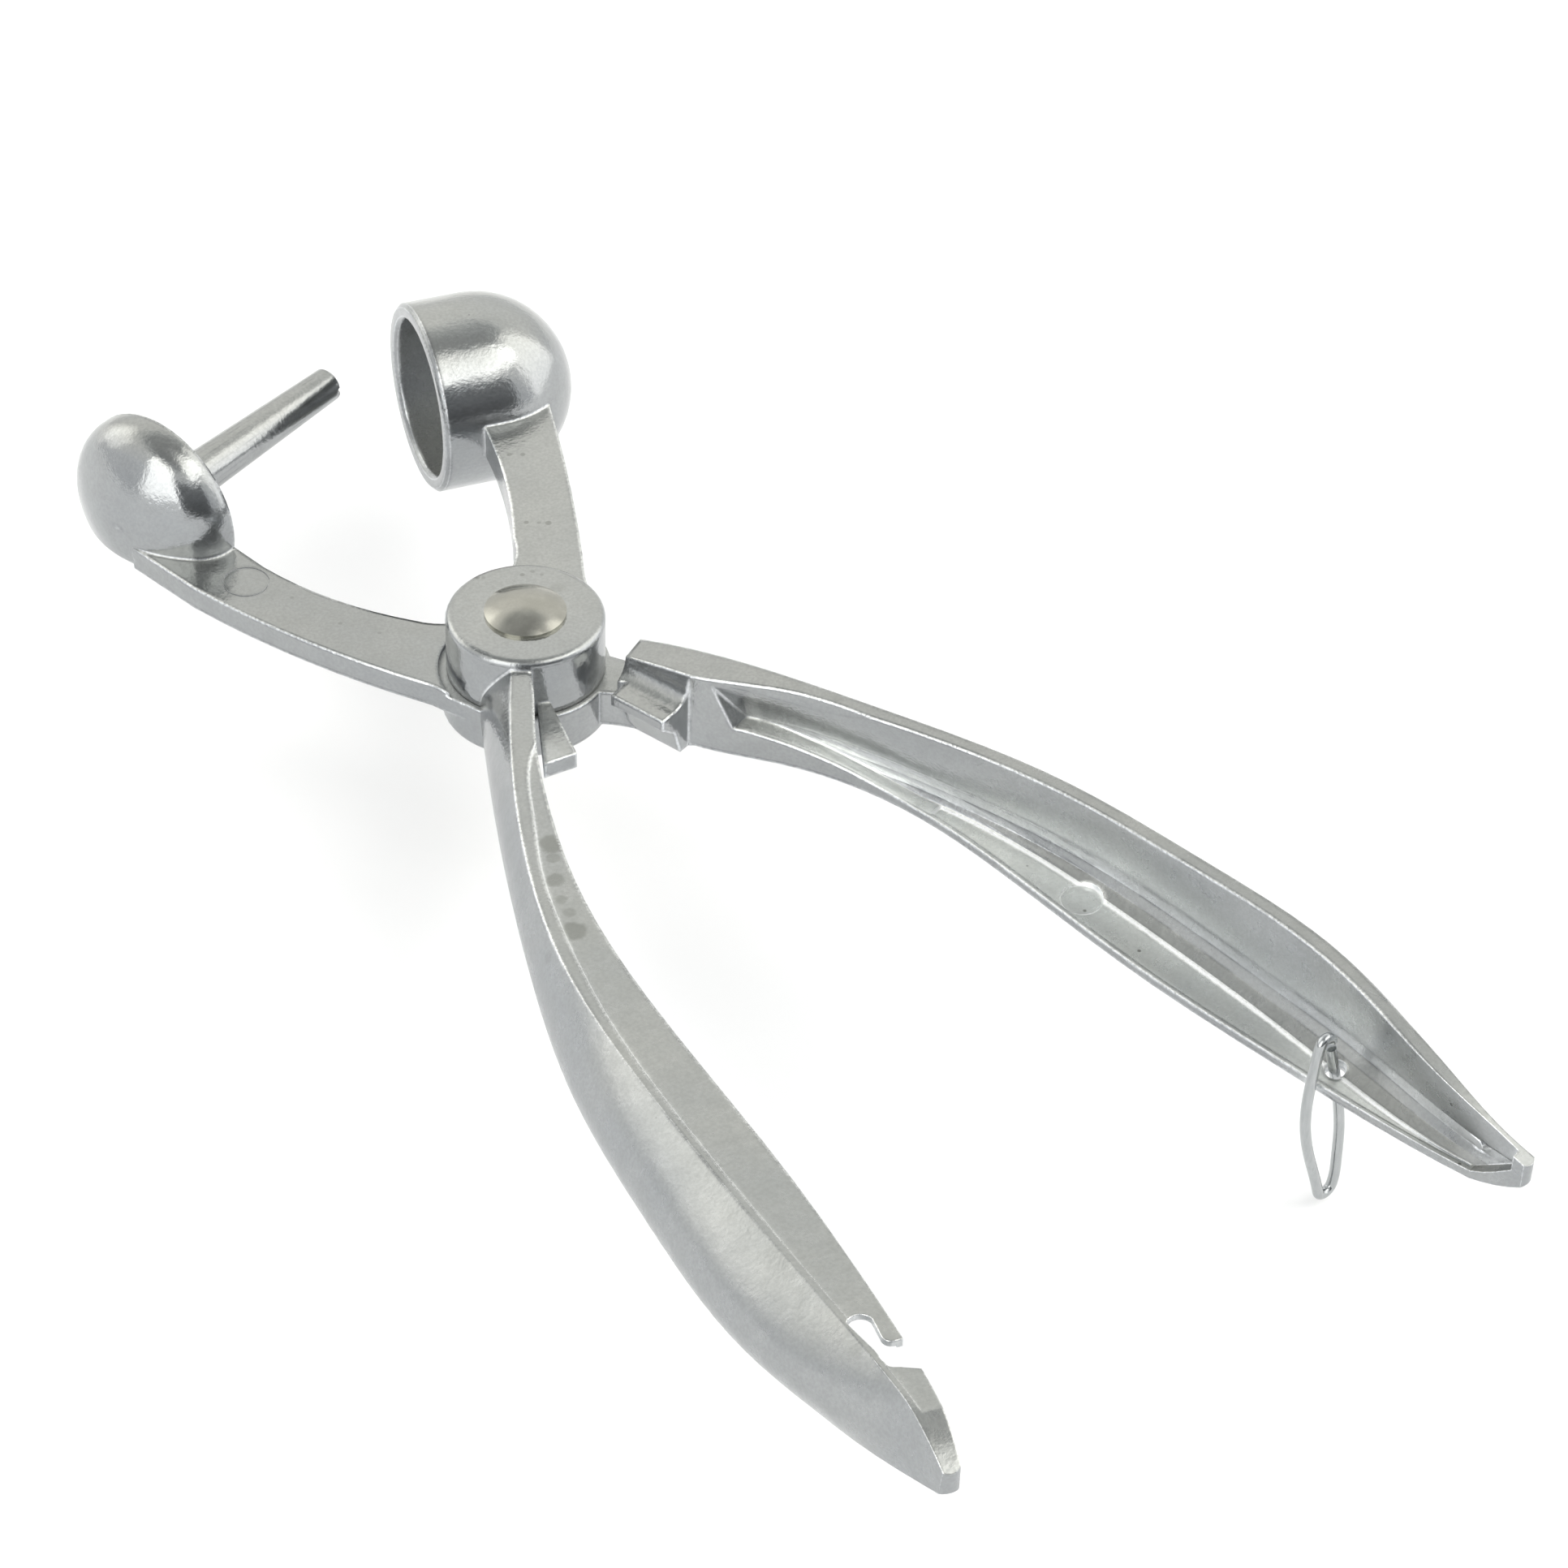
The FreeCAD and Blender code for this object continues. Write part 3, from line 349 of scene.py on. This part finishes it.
def cast_aluminium(name, drops, painted_flat_light):
    material, tree, shader = new_material(name)
    place = add(tree, "TexCoord").outputs["Object"]
    along = axis_part(tree, place, 1)
    slope = axis_part(tree, add(tree, "NewGeometry").outputs["Normal"], 2)
    reach = band(tree, along, -0.102, -0.086, 0.0003, 0.0008)
    rounded = add(tree, "Bevel", {"Radius": reach}, samples=10).outputs[0]
    open_sky = add(tree, "AmbientOcclusion", {"Distance": SKY_REACH}, samples=8).outputs["AO"]
    grain = noise(tree, place, 2600.0, 2.0, 0.6)
    mottle = noise(tree, place, 420.0, 4.0, 0.65)
    pit = scattered_spots(tree, place, 330.0, 0.08, 0.05, 0.09)
    edge, painted_dark_line = worn_and_painted_edges(tree, place, rounded, grain)
    # Worn edges and their painted highlights show less where a point sees little sky.
    exposed = band(tree, open_sky, 0.50, 0.78, 0.22, 1.0)
    wear_and_highlight = math_node(tree, "MULTIPLY", edge, exposed)

    colour = skin_colour(tree, place, slope, grain, mottle, pit, wear_and_highlight, painted_dark_line, drops, painted_flat_light)
    # The colour is multiplied by the painted light and shade of the hollows.
    lift = painted_hollow_light(tree, open_sky, along, slope)
    colour_with_painted_light = add(tree, "VectorMath", {0: colour, "Scale": lift}, operation="SCALE").outputs[0]
    wired = {"Base Color": colour_with_painted_light,
             "Metallic": band(tree, open_sky, 0.45, 0.95, 0.74, 1.0),
             "Roughness": sheen(tree, open_sky, along, mottle, wear_and_highlight),
             "Normal": skin_bump(tree, place, rounded, grain, pit)}
    for socket, value in wired.items():
        tree.links.new(value, shader.inputs[socket])
    return material


# The last colour is the painted light on the lever's flat tops.
dress("cup_arm", cast_aluminium("cast_aluminium_cup_arm", WEB_STAINS + CUP_ARM_DOTS,
                                (1.02, 1.02, 0.985, 1)))
dress("plunger_arm", cast_aluminium("cast_aluminium_punch_arm", PUNCH_ARM_DOTS,
                                    (0.93, 0.93, 0.90, 1)))
print("cast aluminium on both levers:",
      len(bpy.data.materials["cast_aluminium_cup_arm"].node_tree.nodes), "nodes")


# %% [markdown]
# ## Nickel plate
# The rivet and its washer are finished as nickel plated steel, warmer than the castings and with
# less relief. They show only a light haze and fine specks, so two noises are enough.

# %% The nickel finish
def nickel_plate():
    material, tree, shader = new_material("nickel_plate")
    place = add(tree, "TexCoord").outputs["Object"]
    haze = noise(tree, place, 500.0, 3.0)
    speck = noise(tree, place, 3500.0, 1.0)
    colour = tint(tree, band(tree, haze, 0.3, 0.7, 0.0, 1.0), (0.345, 0.340, 0.295, 1),
                  (0.395, 0.388, 0.340, 1))
    fine = tint(tree, band(tree, speck, 0.3, 0.7, 0.2, 0.0), colour, (0.30, 0.29, 0.26, 1))
    tree.links.new(fine, shader.inputs["Base Color"])
    shader.inputs["Metallic"].default_value = 1.0
    tree.links.new(band(tree, haze, 0.3, 0.7, 0.13, 0.20), shader.inputs["Roughness"])
    low = add(tree, "Bump", {"Strength": 0.08, "Distance": 0.0001, "Height": haze})
    bump = add(tree, "Bump", {"Strength": 0.10, "Distance": 0.00002, "Height": speck,
                              "Normal": low.outputs[0]})
    tree.links.new(bump.outputs[0], shader.inputs["Normal"])
    return material


nickel = nickel_plate()
for plated in ("pivot_rivet", "rivet_washer"):
    dress(plated, nickel)
print("nickel on the rivet and the washer")


# %% [markdown]
# ## Drawn wire
# The ring and the spring are bent from wire with fine scratches along it. The ring is much
# higher than wide, so its wire mostly runs up and down. Squeezing the coordinates in z
# stretches a fine noise in that direction, which is simpler than to unwrap a bent tube. On the
# level coils of the spring the scratches run across the wire, but it lies inside the hub.

# %% The wire finish
STRETCH = 0.12                               # z is squeezed to this share


def drawn_wire():
    material, tree, shader = new_material("drawn_wire")
    place = add(tree, "TexCoord").outputs["Object"]
    run = add(tree, "Mapping", {"Vector": place, "Scale": (1.0, 1.0, STRETCH)})
    scratch = noise(tree, run.outputs[0], 4000.0, 2.0)
    colour = tint(tree, scratch, (0.34, 0.355, 0.36, 1), (0.52, 0.535, 0.54, 1))
    tree.links.new(colour, shader.inputs["Base Color"])
    shader.inputs["Metallic"].default_value = 1.0
    tree.links.new(band(tree, scratch, 0.3, 0.7, 0.14, 0.24), shader.inputs["Roughness"])
    bump = add(tree, "Bump", {"Strength": 0.12, "Distance": 0.00004, "Height": scratch})
    tree.links.new(bump.outputs[0], shader.inputs["Normal"])
    return material


wire = drawn_wire()
for bent in ("torsion_spring", "lock_ring"):
    dress(bent, wire)
print("wire on the ring and the spring")


# %% [markdown]
# ## The floor
# The floor is one large pale square just under the lowest point of the ring. It is far larger
# than the view, so that its edge lies outside the picture. It belongs to the room and not to
# the tool, and it is linked straight to the scene.

# %% A pale floor
FLOOR_HALF = 3.0
FLOOR_GAP = 0.0006


def pale_floor():
    mesh = bpy.data.meshes.new("floor")
    bm = bmesh.new()
    bmesh.ops.create_grid(bm, x_segments=1, y_segments=1, size=FLOOR_HALF)
    low = measured_box[0].z - FLOOR_GAP
    bmesh.ops.translate(bm, vec=(0, 0, low), verts=bm.verts)
    bm.to_mesh(mesh)
    bm.free()
    floor = bpy.data.objects.new("floor", mesh)
    scene.collection.objects.link(floor)
    material, tree, shader = new_material("pale_floor")
    shader.inputs["Base Color"].default_value = (0.945, 0.945, 0.945, 1)
    shader.inputs["Roughness"].default_value = 0.9
    shader.inputs["Specular IOR Level"].default_value = 0.1
    mesh.materials.append(material)
    return low


print("floor at z =", round(pale_floor(), 5))


# %% [markdown]
# ## A tent of soft light
# Bright metal shows its surroundings more than its own colour, so the light matters as much as
# the finish. The tool lies in a white tent, at a level where the pale floor comes out white or
# almost white. Lamps with hard edges would be seen in the metal as hard shapes. So the panels
# are painted into the world instead, each with soft edges, given by where it stands and how
# wide and high it is.

# %% One soft panel
FOOT_EDGE, TOP_EDGE = 0.06, 0.05             # half width of the soft edges, in sin(elevation)


def panel(tree, flat, height, heading, half_width, edge, low, high, gain):
    """A soft panel in the sky. Angles are in degrees, and heading is from +Y towards +X."""
    turn = math.radians(heading)
    facing = add(tree, "VectorMath", {0: flat, 1: (math.sin(turn), math.cos(turn), 0.0)},
                 operation="DOT_PRODUCT").outputs["Value"]
    across = band(tree, facing, math.cos(math.radians(half_width + edge)),
                  math.cos(math.radians(half_width)), 0.0, gain)
    foot = math.sin(math.radians(low))
    top = math.sin(math.radians(high))
    rise = band(tree, height, foot - FOOT_EDGE, foot + FOOT_EDGE, 0.0, 1.0)
    fall = band(tree, height, top - TOP_EDGE, top + TOP_EDGE, 1.0, 0.0)
    return math_node(tree, "MULTIPLY", across, math_node(tree, "MULTIPLY", rise, fall))


print("panel defined")


# %% [markdown]
# ## The panels and the roof
# A large panel stands on the right, with a bright one above it and nearer the front. One in
# front on the left makes the highlight on the dome and also lights the inside of the cup. Two
# faint ones behind on the left light the upper part of the left handle's wall. The opening for
# the camera, low in front, draws the dark band on the cup. The dark roof takes a little light
# from the flats, and more from the far end of the right handle's hollow.

# %% The tent
# heading, half width, soft edge, lowest and highest elevation, brightness added to the tent's
PANELS = [(98.0, 20.0, 10.0, -20.0, 62.0, 1.15),
          (138.0, 26.0, 8.0, 44.0, 74.0, 1.95),
          (-126.0, 17.0, 6.0, 3.0, 56.0, 1.90),
          (-45.0, 15.0, 10.0, 12.0, 42.0, 0.66),
          (-30.0, 10.0, 8.0, -20.0, 44.0, 0.50),
          (178.0, 28.0, 9.0, -45.0, 38.0, -0.74)]
GLOW_TOP, ROOF_FROM, ROOF_TO = (math.sin(math.radians(angle)) for angle in (32, 49, 73))


def studio_tent():
    world = bpy.data.worlds.new("studio_tent")
    world.use_nodes = True
    scene.world = world
    tree = world.node_tree
    background = tree.nodes["Background"]
    direction = add(tree, "TexCoord").outputs["Generated"]
    north, height = (axis_part(tree, direction, axis) for axis in (1, 2))
    level_way = add(tree, "VectorMath", {0: direction, 1: (1, 1, 0)}, operation="MULTIPLY")
    flat = add(tree, "VectorMath", {0: level_way.outputs[0]}, operation="NORMALIZE").outputs[0]
    total = band(tree, north, -0.4, 0.8, 0.86, 1.04)
    parts = [panel(tree, flat, height, *numbers) for numbers in PANELS]
    parts.append(band(tree, height, 0.0, GLOW_TOP, 0.0, 0.18))
    parts.append(band(tree, height, ROOF_FROM, ROOF_TO, 0.0, -0.72))
    for part in parts:
        total = math_node(tree, "ADD", total, part)
    colour = tint(tree, band(tree, total, 0.5, 1.5, 0.0, 1.0), (0.965, 0.995, 1.02, 1),
                  (1.005, 1.0, 0.98, 1))
    tree.links.new(colour, background.inputs["Color"])
    tree.links.new(total, background.inputs["Strength"])


studio_tent()
print("tent with", len(PANELS), "panels")


# %% [markdown]
# ## One lamp overhead
# The soft shadow under the tool comes from the tent, because the tool hides part of it from the
# floor. One weak square lamp, 0.8 m wide and almost straight above, lights that shadow and the
# metal a little. Without it both come out only a few levels of 255 darker.

# %% The lamp
def overhead_lamp(place, aim, width, power):
    data = bpy.data.lights.new("overhead", "AREA")
    data.shape = "RECTANGLE"
    data.size = data.size_y = width
    data.energy = power
    item = bpy.data.objects.new("overhead", data)
    scene.collection.objects.link(item)
    item.location = place
    item.rotation_euler = (aim - place).to_track_quat("-Z", "Y").to_euler()
    return item


lamp = overhead_lamp(Vector((0.05, 0.0, 0.9)), Vector((0.0, -0.03, 0.0)), 0.8, 0.3)
print("lamp:", lamp.data.energy, "W at", tuple(round(v, 2) for v in lamp.location))


# %% [markdown]
# ## The camera
# The camera looks down on the tool from the front and a little from the left, from just over
# half a metre away and through a long lens. Its place and its angles are given as numbers
# instead of a target, because a target can't give the slight roll.

# %% The camera
def aim_camera(place, heading, pitch, roll, lens):
    """A camera from its place, its heading from +Y towards +X, its pitch down and its roll."""
    data = bpy.data.cameras.new("view")
    data.sensor_width = 36.0
    data.lens = lens
    data.clip_start, data.clip_end = 0.01, 20.0
    item = bpy.data.objects.new("view", data)
    scene.collection.objects.link(item)
    turn = Matrix.Rotation(-heading, 4, "Z") @ Matrix.Rotation(math.pi / 2 - pitch, 4, "X")
    item.matrix_world = Matrix.Translation(place) @ turn @ Matrix.Rotation(roll, 4, "Z")
    scene.camera = item


aim_camera(Vector((-0.130975, -0.403307, 0.358802)), math.radians(22.0), math.radians(41.145),
           math.radians(2.0), 111.8)
scene.view_settings.view_transform = "Standard"
print("camera at", tuple(round(v, 4) for v in scene.camera.location))
